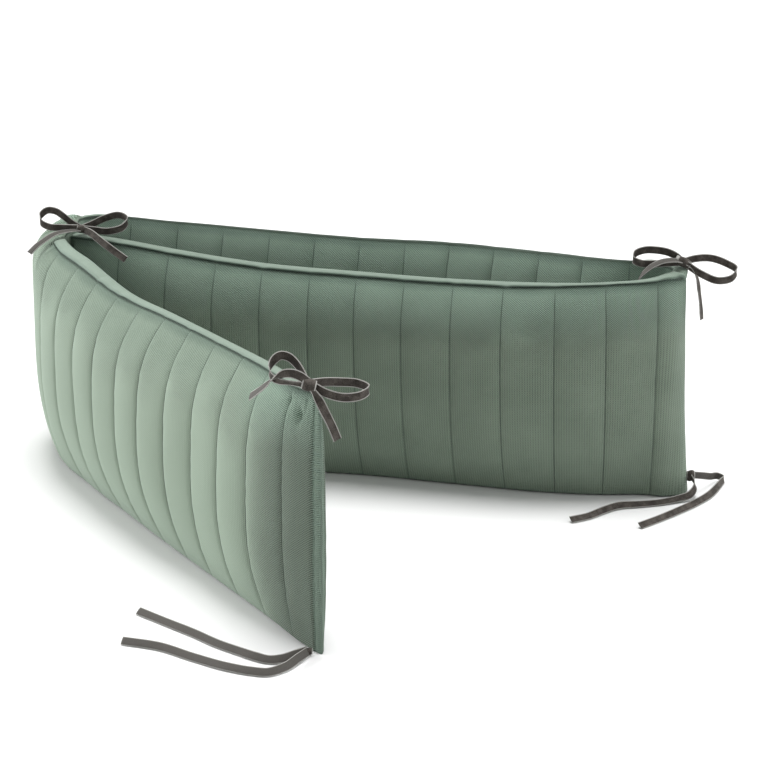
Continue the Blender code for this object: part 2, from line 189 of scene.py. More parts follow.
# Where the left fold's tie draws the outer face over the crest, and the wider stretch where it is full to
# its top: the lines between which each begins, and between which it ends
ROLL_RISE, ROLL_FALL = (11.62, 11.74), (13.65, 13.95)
PLUMP_RISE, PLUMP_FALL = (10.2, 12.3), (13.7, 14.4)
ROLL_SHARE = 0.80        # share of the height at which the face starts to turn over
ROLL_SQUARE = 0.68       # how square its shoulder is: 1 is a quarter circle
ROLL_PAST = 0.003        # how far past the middle the face ends
ROLL_EDGE = 0.92         # where the cloth behind it ends, as a share of half the band's width
ROLL_DROP = 0.0018       # and how far under the crest
PLUMP_EDGE = 0.72        # where a full face ends that isn't drawn over, as the same share

# Lumps and creases along the band: line, reach in lines, and how far the cover stands out there
BAND_LUMPS = (
    (27.50, 0.10, 0.0040),
    (27.32, 0.05, -0.0065),
    (27.14, 0.08, 0.0034),
    (7.70, 0.22, 0.0012),
    (8.45, 0.16, -0.0012),
    (30.95, 0.07, -0.0012),
    (32.10, 0.08, 0.0010),
    (5.10, 0.07, -0.0008),
    (9.00, 0.08, -0.0009),
    (36.0, 0.08, -0.0010),
)

# Dimples and creases of the faces: line, share of the height, side, reach in lines, reach up, and depth
DIMPLES = (
    (0.50, 0.905, 1, 0.10, 0.030, -0.0065),
    (0.98, 0.950, 1, 0.12, 0.022, -0.0045),
    (0.25, 0.965, 1, 0.07, 0.022, -0.0030),
    (1.45, 0.970, 1, 0.20, 0.020, -0.0020),
    (0.45, 0.115, 1, 0.60, 0.010, -0.0018),
    (28.15, 0.55, 1, 0.30, 0.060, -0.0018),
    (28.45, 0.62, 1, 0.25, 0.050, 0.0014),
)

# The boxed end: how far out, as shares of END_ROUND, its width and its height
END_PROFILE = (
    (0.0, 0.80, 1.000),
    (0.05, 0.70, 0.999),
    (0.25, 0.72, 0.998),
    (0.55, 0.62, 0.995),
    (0.80, 0.47, 0.991),
    (0.95, 0.28, 0.987),
    (1.00, 0.10, 0.985),
)

# The ribbons
RIBBON_WIDTH = 0.0108
RIBBON_THICKNESS = 0.0010
RIBBON_STEP = 0.0025
RIBBON_ACROSS = 6
RIBBON_CUP = 0.0006      # how far a ribbon's middle stands off its edges
SELVEDGE = 0.0008        # width of its pale woven edge

# The knots, and the roots of the floor ties: size along, across and up
NEAR_KNOT_SIZE = (0.0165, 0.0170, 0.0135)
LEFT_KNOT_SIZE = (0.0140, 0.0160, 0.0115)
RIGHT_KNOT_SIZE = (0.0215, 0.0160, 0.0135)
NEAR_ROOT_SIZE = (0.008, 0.010, 0.008)
RIGHT_ROOT_SIZE = (0.012, 0.012, 0.016)
KNOT_ACROSS = 10
KNOT_ROUND = 40
KNOT_WAIST = 0.22        # how much thinner it is at its two ends
KNOT_CREASE = 0.08       # how deep its creases are
KNOT_CREASES = 3.0
KNOT_TWIST = 5.0         # how far they turn round it
KNOT_SQUARE = 0.8        # how square it is: 1 is round

# The ties: a knot's or a root's place, and the rows x, y, z and turn of each ribbon's middle line. The turn
# is in degrees about its length: lying flat at 0 and standing on edge at 90.
NEAR_KNOT = (-0.067, -0.4245, 0.341)
NEAR_TOP = {
    "right_loop": (
        (-0.066, -0.420, 0.341, 90),
        (-0.050, -0.408, 0.339, 90),
        (-0.032, -0.399, 0.336, 90),
        (-0.012, -0.398, 0.334, 90),
        (0.001, -0.409, 0.331, 90),
        (-0.008, -0.424, 0.328, 90),
        (-0.026, -0.429, 0.327, 90),
        (-0.046, -0.427, 0.331, 90),
        (-0.064, -0.421, 0.339, 90),
    ),
    "left_loop": (
        (-0.068, -0.420, 0.341, 270),
        (-0.0755, -0.411, 0.3523, 270),
        (-0.0835, -0.405, 0.3618, 270),
        (-0.0905, -0.402, 0.3669, 270),
        (-0.1000, -0.401, 0.3684, 270),
        (-0.1090, -0.404, 0.3620, 270),
        (-0.1125, -0.411, 0.3545, 270),
        (-0.1095, -0.419, 0.3485, 260),
        (-0.1010, -0.424, 0.3450, 240),
        (-0.0890, -0.425, 0.3435, 225),
        (-0.0770, -0.424, 0.3415, 230),
        (-0.0700, -0.422, 0.3405, 240),
    ),
    "left_tail": (
        (-0.068, -0.424, 0.344, 85),
        (-0.0781, -0.430, 0.3535, 85),
        (-0.0865, -0.432, 0.3568, 90),
        (-0.0945, -0.431, 0.3560, 105),
        (-0.1015, -0.428, 0.3512, 150),
        (-0.1121, -0.418, 0.3415, 215),
        (-0.1253, -0.401, 0.3265, 230),
        (-0.1368, -0.386, 0.3140, 235),
    ),
    "right_tail": (
        (-0.066, -0.423, 0.339, 240),
        (-0.058, -0.428, 0.328, 260),
        (-0.049, -0.427, 0.309, 270),
        (-0.041, -0.423, 0.290, 270),
        (-0.035, -0.420, 0.273, 270),
    ),
}

LEFT_KNOT = (-0.438, 0.317, 0.3465)
LEFT_TOP = {
    "left_loop": (
        (-0.440, 0.319, 0.347, 90),
        (-0.453, 0.322, 0.354, 90),
        (-0.466, 0.325, 0.364, 90),
        (-0.478, 0.327, 0.3715, 90),
        (-0.490, 0.326, 0.3730, 90),
        (-0.4990, 0.320, 0.3665, 90),
        (-0.4975, 0.311, 0.3580, 90),
        (-0.486, 0.305, 0.3530, 90),
        (-0.465, 0.306, 0.3510, 90),
        (-0.444, 0.316, 0.348, 90),
    ),
    "right_loop": (
        (-0.438, 0.319, 0.347, 90),
        (-0.424, 0.324, 0.352, 90),
        (-0.401, 0.326, 0.362, 90),
        (-0.381, 0.321, 0.367, 90),
        (-0.367, 0.308, 0.362, 90),
        (-0.373, 0.295, 0.354, 90),
        (-0.392, 0.291, 0.349, 90),
        (-0.415, 0.302, 0.348, 90),
        (-0.436, 0.316, 0.347, 90),
    ),
    "left_tail": (
        (-0.441, 0.314, 0.3455, 190),
        (-0.457, 0.294, 0.3485, 190),
        (-0.4736, 0.274, 0.3480, 190),
        (-0.4850, 0.262, 0.3425, 192),
        (-0.4960, 0.253, 0.3355, 194),
        (-0.5055, 0.246, 0.3265, 196),
    ),
    "right_tail": (
        (-0.437, 0.316, 0.346, 290),
        (-0.422, 0.294, 0.346, 300),
        (-0.403, 0.270, 0.339, 305),
        (-0.383, 0.256, 0.328, 305),
        (-0.364, 0.249, 0.316, 300),
    ),
}

RIGHT_KNOT = (0.4385, 0.115, 0.3465)
RIGHT_TOP = {
    "left_loop": (
        (0.437, 0.117, 0.347, 90),
        (0.430, 0.121, 0.353, 90),
        (0.418, 0.126, 0.358, 90),
        (0.402, 0.128, 0.3605, 90),
        (0.384, 0.127, 0.3605, 90),
        (0.371, 0.121, 0.356, 90),
        (0.369, 0.114, 0.350, 90),
        (0.378, 0.109, 0.3465, 90),
        (0.394, 0.107, 0.346, 90),
        (0.415, 0.109, 0.347, 90),
        (0.436, 0.115, 0.346, 90),
    ),
    "right_loop": (
        (0.440, 0.116, 0.347, 90),
        (0.456, 0.121, 0.350, 90),
        (0.479, 0.124, 0.350, 90),
        (0.500, 0.118, 0.344, 90),
        (0.513, 0.106, 0.337, 90),
        (0.505, 0.094, 0.329, 90),
        (0.485, 0.090, 0.326, 90),
        (0.463, 0.098, 0.333, 90),
        (0.441, 0.113, 0.345, 90),
    ),
    "left_tail": (
        (0.436, 0.113, 0.348, 200),
        (0.422, 0.104, 0.3520, 200),
        (0.4065, 0.100, 0.3510, 200),
        (0.3950, 0.099, 0.3460, 202),
        (0.3860, 0.100, 0.3390, 205),
        (0.3795, 0.102, 0.3310, 205),
        (0.3750, 0.105, 0.3220, 205),
        (0.3720, 0.109, 0.3130, 205),
    ),
    "right_tail": (
        (0.441, 0.113, 0.346, -5),
        (0.450, 0.110, 0.341, -5),
        (0.458, 0.108, 0.326, -5),
        (0.462, 0.106, 0.306, 0),
        (0.465, 0.104, 0.286, 8),
        (0.467, 0.102, 0.266, 15),
    ),
}

NEAR_ROOT = (-0.071, -0.420, 0.0060)
NEAR_FLOOR = {
    "upper": (
        (-0.073, -0.420, 0.0066, 242),
        (-0.086, -0.430, 0.0072, 232),
        (-0.100, -0.438, 0.0060, 226),
        (-0.118, -0.440, 0.0050, 222),
        (-0.134, -0.433, 0.0056, 228),
        (-0.154, -0.418, 0.0048, 220),
        (-0.182, -0.397, 0.0046, 218),
        (-0.213, -0.369, 0.0050, 224),
        (-0.251, -0.336, 0.0044, 216),
        (-0.289, -0.304, 0.0046, 218),
    ),
    "lower": (
        (-0.072, -0.422, 0.0070, 240),
        (-0.083, -0.440, 0.0072, 232),
        (-0.098, -0.462, 0.0062, 228),
        (-0.117, -0.473, 0.0052, 224),
        (-0.137, -0.470, 0.0052, 226),
        (-0.165, -0.459, 0.0052, 220),
        (-0.207, -0.434, 0.0048, 222),
        (-0.252, -0.405, 0.0052, 226),
        (-0.298, -0.389, 0.0048, 220),
    ),
}

RIGHT_ROOT = (0.4650, 0.114, 0.0260)
RIGHT_FLOOR = {
    "outer": (
        (0.466, 0.115, 0.0270, 85),
        (0.482, 0.124, 0.0225, 90),
        (0.500, 0.144, 0.0135, 90),
        (0.514, 0.158, 0.0085, 90),
        (0.521, 0.152, 0.0075, 84),
        (0.515, 0.137, 0.0070, 70),
        (0.504, 0.115, 0.0060, 55),
        (0.490, 0.091, 0.0052, 45),
        (0.466, 0.061, 0.0050, 42),
        (0.439, 0.033, 0.0050, 44),
        (0.407, 0.003, 0.0046, 38),
        (0.374, -0.026, 0.0048, 42),
    ),
    "inner": (
        (0.466, 0.112, 0.0250, 80),
        (0.470, 0.097, 0.0180, 70),
        (0.461, 0.081, 0.0100, 55),
        (0.440, 0.072, 0.0062, 38),
        (0.412, 0.062, 0.0046, 32),
        (0.385, 0.055, 0.0050, 36),
        (0.352, 0.046, 0.0062, 50),
        (0.330, 0.030, 0.0058, 46),
        (0.306, 0.010, 0.0048, 38),
        (0.280, -0.004, 0.0048, 40),
    ),
}

# Each tie: the name of its pieces, its CAD node, its knot's or root's size, place and tilt, its ribbons, and
# how they are held
TIES = (
    ("near_bow", "tie_near_top", NEAR_KNOT_SIZE, NEAR_KNOT, 14.0, NEAR_TOP, "hung"),
    ("left_bow", "tie_left_top", LEFT_KNOT_SIZE, LEFT_KNOT, 10.0, LEFT_TOP, "hung"),
    ("right_bow", "tie_right_top", RIGHT_KNOT_SIZE, RIGHT_KNOT, 28.0, RIGHT_TOP, "hung"),
    ("near_floor", "tie_near_floor", NEAR_ROOT_SIZE, NEAR_ROOT, 0.0, NEAR_FLOOR, "laid"),
    ("right_floor", "tie_right_floor", RIGHT_ROOT_SIZE, RIGHT_ROOT, 0.0, RIGHT_FLOOR, "laid"),
)

# ---------------------------------------------------------------- camera and studio

CAMERA_PLACE = (0.018, -2.433, 0.996)
CAMERA_DOWN = 18.04
CAMERA_LENS = 87.47
SENSOR = 36.0
AIR_LIGHT = 0.22
PAPER_SIZE = 12.0

# Far soft boxes: where the light comes from, its strength and its spread in degrees
LIGHTS = (
    ("left_soft_box", (-0.90, 0.38, 0.22), 3.9, 40.0),
    ("right_soft_box", (0.95, 0.10, 0.45), 1.2, 45.0),
    ("top_soft_box", (0.05, 0.10, 1.0), 3.2, 30.0),
    ("front_fill", (0.25, -1.0, 0.55), 0.65, 90.0),
)


def add_camera():
    """The photograph's view: level across, looking a little down."""
    lens = bpy.data.cameras.new("camera")
    lens.lens = CAMERA_LENS
    lens.sensor_width = SENSOR
    camera = bpy.data.objects.new("camera", lens)
    camera.location = CAMERA_PLACE
    camera.rotation_euler = (math.radians(90.0 - CAMERA_DOWN), 0.0, 0.0)
    bpy.context.scene.collection.objects.link(camera)
    bpy.context.scene.camera = camera


def add_sun(name, from_side, strength, spread):
    """A wide soft light from far away."""
    lamp = bpy.data.lights.new(name, "SUN")
    lamp.energy = strength
    lamp.angle = math.radians(spread)
    light = bpy.data.objects.new(name, lamp)
    light.rotation_euler = Vector(from_side).to_track_quat("Z", "Y").to_euler()
    bpy.context.scene.collection.objects.link(light)


def add_air():
    """Even white light from all round."""
    world = bpy.data.worlds.new("studio_air")
    bpy.context.scene.world = world
    world.use_nodes = True
    background = world.node_tree.nodes["Background"]
    background.inputs["Color"].default_value = (1.0, 1.0, 1.0, 1.0)
    background.inputs["Strength"].default_value = AIR_LIGHT


# ---------------------------------------------------------------- shader tools

FIBRE_GLOSS = 0.25
WHITE = (1.0, 1.0, 1.0)


class Wire:
    """A shader socket that Python reckons with: each operator adds a Math node."""

    def __init__(self, tree, socket=None):
        self.tree = tree
        self.socket = socket

    def node(self, kind, settings=None, inputs=None, output=0):
        """Add a node, set it up, feed its sockets and return one of its outputs."""
        made = self.tree.nodes.new(kind)
        for name, value in (settings or {}).items():
            setattr(made, name, value)
        for name, value in (inputs or {}).items():
            if isinstance(value, Wire):
                self.tree.links.new(value.socket, made.inputs[name])
            else:
                made.inputs[name].default_value = value
        return Wire(self.tree, made.outputs[output])

    def beside(self, output):
        """Another output of the same node."""
        return Wire(self.tree, self.socket.node.outputs[output])

    def maths(self, operation, *values):
        """A Math node on the values, or on this socket alone."""
        return self.node("ShaderNodeMath", {"operation": operation}, dict(enumerate(values or (self,))))

    def __add__(self, other):
        return self.maths("ADD", self, other)

    def __radd__(self, other):
        return self.maths("ADD", other, self)

    def __sub__(self, other):
        return self.maths("SUBTRACT", self, other)

    def __rsub__(self, other):
        return self.maths("SUBTRACT", other, self)

    def __mul__(self, other):
        return self.maths("MULTIPLY", self, other)

    def __rmul__(self, other):
        return self.maths("MULTIPLY", other, self)


def colour_mix(factor, first, second):
    """Two colours mixed by a factor, through the Mix node's own sockets for a factor and for colours."""
    return factor.node("ShaderNodeMix", {"data_type": "RGBA"}, {0: factor, 6: first, 7: second}, output=2)


def over(value, low, high):
    """0 under low, 1 over high, smooth between them."""
    return value.node(
        "ShaderNodeMapRange",
        {"interpolation_type": "SMOOTHSTEP"},
        {"Value": value, "From Min": low, "From Max": high},
    )


def under(value, low, high):
    """1 under low, 0 over high, smooth between them."""
    return 1 - over(value, low, high)


def span(value, rise, fall):
    """1 between a rise and a fall, each given by where it starts and ends, and 0 outside them."""
    return over(value, *rise) * under(value, *fall)


def uv_parts(start, layer):
    """A UV layer as a vector and as its two values."""
    vector = start.node("ShaderNodeUVMap", {"uv_map": layer})
    first = start.node("ShaderNodeSeparateXYZ", None, {0: vector})
    return vector, first, first.beside(1)


def on_piece(start):
    """Object coordinates, which stay with the piece."""
    return start.node("ShaderNodeTexCoord", output=3)


def grain(start, vector, scale, detail):
    """A noise of one value."""
    return start.node("ShaderNodeTexNoise", None, {"Vector": vector, "Scale": scale, "Detail": detail})


def new_finish(name, sheen=0.0, sheen_tint=WHITE, sheen_roughness=0.5):
    """A material with its Principled shader, whose constant sockets are set here."""
    material = bpy.data.materials.new(name)
    material.use_nodes = True
    shader = material.node_tree.nodes["Principled BSDF"]
    shader.inputs["Sheen Weight"].default_value = sheen
    shader.inputs["Sheen Roughness"].default_value = sheen_roughness
    shader.inputs["Sheen Tint"].default_value = (*sheen_tint, 1.0)
    shader.inputs["Specular IOR Level"].default_value = FIBRE_GLOSS
    return material, shader, Wire(material.node_tree)


def feed(shader, start, colour, roughness, height, distance):
    """Set a shader's roughness, and feed its colour and its bump."""
    shader.inputs["Roughness"].default_value = roughness
    bump = start.node("ShaderNodeBump", None, {"Distance": distance, "Height": height})
    start.tree.links.new(colour.socket, shader.inputs["Base Color"])
    start.tree.links.new(bump.socket, shader.inputs["Normal"])


# ---------------------------------------------------------------- finishes

# The waffle cotton
WAFFLE_TINT = (0.8, 0.95, 0.85)
WAFFLE_BUMP = 0.0009
WEAVE_ALONG = 2.0 * math.pi / 0.0034     # a waffle is 3.4 mm wide
WEAVE_UP = 2.0 * math.pi / 0.0029        # and 2.9 mm high
STITCH_UP = 2.0 * math.pi / 0.0028       # a stitch is 2.8 mm long
SAGE = (0.210, 0.266, 0.204, 1.0)
# Painted light, with a bluer tint: the pale top of each face and the boxed end
SAGE_LIT = (0.380, 0.530, 0.415, 1.0)
# Painted shade in the knit's hollows
SAGE_HOLLOW_SHADE = (0.046, 0.066, 0.048, 1.0)
# Painted shade in the grooves of the seams and stitch lines, and along the foot
SAGE_DARK_SHADE = (0.014, 0.026, 0.019, 1.0)
SAGE_SHADE = (0.052, 0.092, 0.070, 1.0)
SAGE_BAND = (0.190, 0.243, 0.197, 1.0)

# Where it changes along the strip, in stitch lines from the start to the end of each change
BOXED_END = (0.0, 0.02)
NEAR_END = (0.9, 2.2)
FRONT_RISE, FRONT_FALL = (1.2, 2.8), (12.5, 14.5)
DRAWN_RISE, DRAWN_FALL = (11.60, 11.70), (13.60, 13.90)

# And round a section, by the marks of ring_stops: the foot at 0 and 3, the seams at 1 and 2
BAND_RISE, BAND_FALL = (0.995, 1.0), (2.0, 2.005)
BAND_SIDE = (1.10, 1.56)
FOOT_RISE, FOOT_FALL = (0.004, 0.012), (2.988, 2.996)
OUTER_SEAM, INNER_SEAM = 0.997, 2.003
SEAM_FADE = (0.0015, 0.0075)

# And down a face from its seam, in the same marks: where the knit is open, how far the painted light on a
# face's top reaches, and how far the painted shade under the seam reaches
OPEN_KNIT = (0.08, 0.34)
PALE_TOP = (0.02, 0.28)
UNDER_SEAM = (0.008, 0.045)

# And away from a stitch line in metres, along a stitch, and down into the knit's hollows, which take painted
# shade
LINE_FADE = (0.0004, 0.0011)
STITCH_FADE = (-0.5, 0.6)
HOLLOW_FADE = (-0.55, 0.35)

# How strongly each of them shows
FRONT_SMOOTH = 0.78      # how much smoother the front panel's knit is
FRONT_OPEN = 0.3         # taken off that where the knit is open
BAND_KNIT = 0.3          # how much of the knit's relief is left on the band
STITCHES = 0.45          # how much a stitch line fades between its stitches
SEWN_DEPTH = 1.2         # how deep it is, against the knit
# painted shade in the knit's hollows
HOLLOWS = 0.72
END_HOLLOWS = 0.2        # added to the painted shade in the hollows at the near end
FRONT_PALE = 0.85        # taken off the painted light on the top of the front panel
BACK_SEAM_PALE = 0.8     # taken off the inner seam of the back panel
BACK_SHADE = 0.1
SIDE_SHADE = 0.62
SEAM_SHADE = 0.5
# painted shade: the stitch lines, the seams' grooves and the line along the foot
SEWN_DARK = 0.7
SEAM_LINE_SHADE = 0.68
FOOT_SHADE = 0.85
# painted light on the boxed end
END_LIGHT = 0.4


def make_waffle():
    """Sage waffle cotton: a small staggered weave, sewn lines and seams, and a smoother band, with painted
    shade in the knit's hollows, in the seams and stitch lines, under the seam and along the foot, and painted
    light on the upper faces and the boxed end.
    """
    material, shader, start = new_finish("sage_waffle", sheen=0.25, sheen_tint=WAFFLE_TINT)
    cloth, along, up = uv_parts(start, "cloth")
    line, ring = uv_parts(start, "sewing")[1:]
    patchy = grain(start, cloth, scale=14.0, detail=3.0) - 0.5

    # Where on the strip: the band or a face, how far down the face from its seam, and which stretch
    on_band = span(ring, BAND_RISE, BAND_FALL)
    on_faces = 1 - on_band
    down = (ring - 1.5).maths("ABSOLUTE") - 0.5
    drawn = span(line, DRAWN_RISE, DRAWN_FALL)
    back_panel = span(line, BACK_RISE, BACK_FALL)
    front_panel = span(line, FRONT_RISE, FRONT_FALL)
    near_end = under(line, *NEAR_END)

    # The knit: open waffles on a slant by the crest and at the near end, flatter ones in faint ribs elsewhere
    across = along * WEAVE_ALONG
    rise = up * WEAVE_UP
    ribs = across.maths("COSINE")
    waffles = ribs * rise.maths("COSINE")
    slant = (across + rise).maths("COSINE")
    open_knit = start.maths("MAXIMUM", under(down + patchy * 0.3, *OPEN_KNIT), near_end)
    knit = open_knit * (waffles * 0.6 + slant * 0.7) + (1 - open_knit) * (waffles * 0.4 + ribs * 0.2)
    clear = 1 - front_panel * (FRONT_SMOOTH - open_knit * FRONT_OPEN)

    # The sewing: stitch lines with their stitches and the band's seams, darkened by painted shade in their
    # grooves, and a painted shadow line along the foot
    nearest = ((line + 0.5).maths("FRACT") - 0.5).maths("ABSOLUTE")
    stitches = over((up * STITCH_UP).maths("SINE"), *STITCH_FADE)
    sewn = under(nearest * LINE_SPACE, *LINE_FADE) * on_faces * (1 - STITCHES + stitches * STITCHES)
    outer_seam = under((ring - OUTER_SEAM).maths("ABSOLUTE"), *SEAM_FADE) * (1 - drawn)
    inner_seam = under((ring - INNER_SEAM).maths("ABSOLUTE"), *SEAM_FADE)
    inner_seam = inner_seam * (1 - back_panel * BACK_SEAM_PALE)
    seam = start.maths("MAXIMUM", outer_seam, inner_seam)
    # Painted shade: a dark line along the foot, where the cover meets the floor
    foot_shade = 1 - span(ring, FOOT_RISE, FOOT_FALL)

    # The tones, one over the other
    # Painted light: the top of each face paler and bluer, less so on the front panel
    lit_top = under(down, *PALE_TOP) * on_faces * (1 - front_panel * FRONT_PALE)
    # Painted shade in the knit's hollows, more of it at the near end
    hollow_shade = under(knit + patchy * 0.5, *HOLLOW_FADE) * (clear * HOLLOWS + near_end * END_HOLLOWS)
    under_seam = under(down + patchy * 0.03, *UNDER_SEAM) * on_faces * (1 - drawn)
    band_tone = colour_mix(back_panel * BACK_SHADE, SAGE_BAND, SAGE_SHADE)
    band_tone = colour_mix(under(ring, *BAND_SIDE) * SIDE_SHADE, band_tone, SAGE_SHADE)
    tone = colour_mix(lit_top, SAGE, SAGE_LIT)
    tone = colour_mix(hollow_shade * on_faces, tone, SAGE_HOLLOW_SHADE)
    tone = colour_mix(on_band * (1 - drawn), tone, band_tone)
    tone = colour_mix(under_seam * SEAM_SHADE, tone, SAGE_SHADE)
    # Stitch lines darker: partly their stitches, partly painted shade in their grooves
    tone = colour_mix(sewn * (1 - under_seam) * SEWN_DARK, tone, SAGE_DARK_SHADE)
    # Painted shade in the grooves of the band's seams
    tone = colour_mix(seam * SEAM_LINE_SHADE, tone, SAGE_DARK_SHADE)
    # Painted shade along the foot
    tone = colour_mix(foot_shade * FOOT_SHADE, tone, SAGE_DARK_SHADE)
    # Painted light on the boxed end
    tone = colour_mix(under(line, *BOXED_END) * END_LIGHT, tone, SAGE_LIT)
    height = knit * clear * (BAND_KNIT + on_faces * (1 - BAND_KNIT)) - sewn * SEWN_DEPTH
    feed(shader, start, tone, roughness=0.85, height=height, distance=WAFFLE_BUMP)
    return material


# The ribbon
VELVET_TINT = (0.85, 0.84, 0.80)
VELVET = (0.030, 0.026, 0.022, 1.0)
VELVET_LIGHT = (0.086, 0.076, 0.067, 1.0)
SATIN = (0.110, 0.104, 0.095, 1.0)
SATIN_DEEP = (0.056, 0.052, 0.047, 1.0)
EDGE = (0.345, 0.340, 0.320, 1.0)
EDGE_DEEP = (0.165, 0.160, 0.148, 1.0)
VELVET_BUMP = 0.0002
SATIN_BUMP = 0.00012
EDGE_BUMP = 0.00015
PILE_FADE = (0.40, 0.64)     # the pile's noise between its dark and its light tone
THREAD_FADE = (0.35, 0.65)   # the same for the threads of the edge


def selvedge_mask(start):
    """1 along both woven edges of a ribbon."""
    across = uv_parts(start, "cloth")[1]
    half = RIBBON_WIDTH / 2.0
    return over((across - half).maths("ABSOLUTE"), half - SELVEDGE * 1.3, half - SELVEDGE * 0.8)


def make_velvet():
    """Taupe velvet pile: dark and soft, with a pale bloom."""
    material, shader, start = new_finish(
        "taupe_velvet", sheen=0.24, sheen_tint=VELVET_TINT, sheen_roughness=0.35
    )
    place = on_piece(start)
    pile = grain(start, place, scale=1100.0, detail=2.0)
    crush = grain(start, place, scale=90.0, detail=3.0)
    selvedge = selvedge_mask(start)
    tone = colour_mix(over(pile * 0.45 + crush * 0.55, *PILE_FADE), VELVET, VELVET_LIGHT)
    tone = colour_mix(selvedge, tone, EDGE)
    height = pile + crush * 2.0 - selvedge * 3.0
    feed(shader, start, tone, roughness=0.9, height=height, distance=VELVET_BUMP)
    return material


def make_satin():
    """The ribbon's paler woven back, ribbed across."""
    material, shader, start = new_finish("ribbon_back")
    cloth = start.node("ShaderNodeUVMap", {"uv_map": "cloth"})
    ribs = start.node(
        "ShaderNodeTexWave", {"bands_direction": "Y"}, {"Vector": cloth, "Scale": 320.0, "Distortion": 0.6}
    )
    tone = colour_mix(selvedge_mask(start), colour_mix(ribs, SATIN_DEEP, SATIN), EDGE)
    feed(shader, start, tone, roughness=0.85, height=ribs, distance=SATIN_BUMP)
    return material


def make_edge():
    """The ribbon's pale woven edge."""
    material, shader, start = new_finish("ribbon_edge", sheen=0.1)
    threads = grain(start, on_piece(start), scale=900.0, detail=2.0)
    tone = colour_mix(over(threads, *THREAD_FADE), EDGE_DEEP, EDGE)
    feed(shader, start, tone, roughness=0.7, height=threads, distance=EDGE_BUMP)
    return material


def make_floor_paper():
    """Plain white studio paper."""
    material, shader = new_finish("studio_paper")[:2]
    shader.inputs["Base Color"].default_value = (0.80, 0.80, 0.80, 1.0)
    shader.inputs["Roughness"].default_value = 0.9
    return material


# ---------------------------------------------------------------- reckoning


def mix(first, second, share):
    """A value between two others."""
    return first + (second - first) * share


def ease(value, low, high):
    """0 under low, 1 over high, smooth between them."""
    share = min(max((value - low) / (high - low), 0.0), 1.0)
    return share * share * (3.0 - 2.0 * share)


def between(value, rise, fall):
    """1 between a rise and a fall, each given by where it starts and ends, and 0 outside them."""
    return ease(value, *rise) * (1.0 - ease(value, *fall))


def bell(distance, width):
    """1 at no distance, falling away softly."""
    return math.exp(-((distance / width) ** 2))


def hermite(left, right, slope_left, slope_right, gap, share):
    """The cubic between two values with given slopes, at a share of the gap."""
    square = share * share
    cube = square * share
    return (
        (2 * cube - 3 * square + 1) * left
        + (cube - 2 * square + share) * gap * slope_left
        + (3 * square - 2 * cube) * right
        + (cube - square) * gap * slope_right
    )


def slope_at(rows, index, column):
    """The slope of a column at a row, from the rows on both sides, weighed by their distance."""
    if index == 0:
        return (rows[1][column] - rows[0][column]) / (rows[1][0] - rows[0][0])
    if index == len(rows) - 1:
        return (rows[-1][column] - rows[-2][column]) / (rows[-1][0] - rows[-2][0])
    before, here, after = rows[index - 1], rows[index], rows[index + 1]
    gap_before = here[0] - before[0]
    gap_after = after[0] - here[0]
    rate_before = (here[column] - before[column]) / gap_before
    rate_after = (after[column] - here[column]) / gap_after
    return (rate_before * gap_after + rate_after * gap_before) / (gap_before + gap_after)


def read_rows(rows, key):
    """Every column of a table at a key, which is its first column, on a smooth curve."""
    index = 0
    while index < len(rows) - 2 and key > rows[index + 1][0]:
        index += 1
    gap = rows[index + 1][0] - rows[index][0]
    share = (key - rows[index][0]) / gap
    return [
        hermite(
            rows[index][column],
            rows[index + 1][column],
            slope_at(rows, index, column),
            slope_at(rows, index + 1, column),
            gap,
            share,
        )
        for column in range(1, len(rows[0]))
    ]


# ---------------------------------------------------------------- meshes


def cloth_grid(columns, rows):
    """A flat grid of cloth, with the column and row of each of its points."""
    bm = bmesh.new()
    bmesh.ops.create_grid(bm, x_segments=columns, y_segments=rows, size=1.0)
    cells = {
        vert: (round((vert.co.x + 1.0) / 2.0 * columns), round((vert.co.y + 1.0) / 2.0 * rows))
        for vert in bm.verts
    }
    return bm, cells


def lay_uv(bm, cells, name, place):
    """Write a UV layer, whose values the function place gives for a column and a row."""
    layer = bm.loops.layers.uv.new(name)
    for face in bm.faces:
        for loop in face.loops:
            loop[layer].uv = place(*cells[loop.vert])


def close_up(bm):
    """Merge the points that meet, fill the open rims and turn all faces outwards."""
    bmesh.ops.remove_doubles(bm, verts=bm.verts, dist=MERGE)
    rims = [edge for edge in bm.edges if edge.is_boundary]
    bmesh.ops.holes_fill(bm, edges=rims, sides=0)
    bmesh.ops.recalc_face_normals(bm, faces=bm.faces)


def finish_mesh(name, bm, materials):
    """Turn a bmesh into a smooth object at the origin."""
    mesh = bpy.data.meshes.new(name)
    bm.to_mesh(mesh)
    bm.free()
    for material in materials:
        mesh.materials.append(material)
    mesh.shade_smooth()
    item = bpy.data.objects.new(name, mesh)
    bpy.context.scene.collection.objects.link(item)
    return item


# ---------------------------------------------------------------- the strip's form


def route_at(line):
    """The route's columns at a line, by name."""
    return dict(zip(ROUTE_COLUMNS[1:], read_rows(ROUTE, line)))


def heading_at(line):
    """The direction in which the strip runs, level."""
    step = 0.02
    before = route_at(max(line - step, 0.0))
    after = route_at(min(line + step, float(STITCH_LINES)))
    return Vector((after["x"] - before["x"], after["y"] - before["y"], 0.0)).normalized()


def belly_share(share):
    """How full a face is at a share of its height: 0 at the foot and the seam, 1 at the belly."""
    if share > BELLY_AT:
        return 1.0 - ((share - BELLY_AT) / (1.0 - BELLY_AT)) ** BELLY_TOP_POWER
    return 1.0 - ((BELLY_AT - share) / BELLY_AT) ** BELLY_FOOT_POWER


def even_ends(steps):
    """Shares from 0 to 1, closer together at both ends."""
    return [
        step / steps - CROWD * math.sin(2.0 * math.pi * step / steps) / (2.0 * math.pi)
        for step in range(steps + 1)
    ]


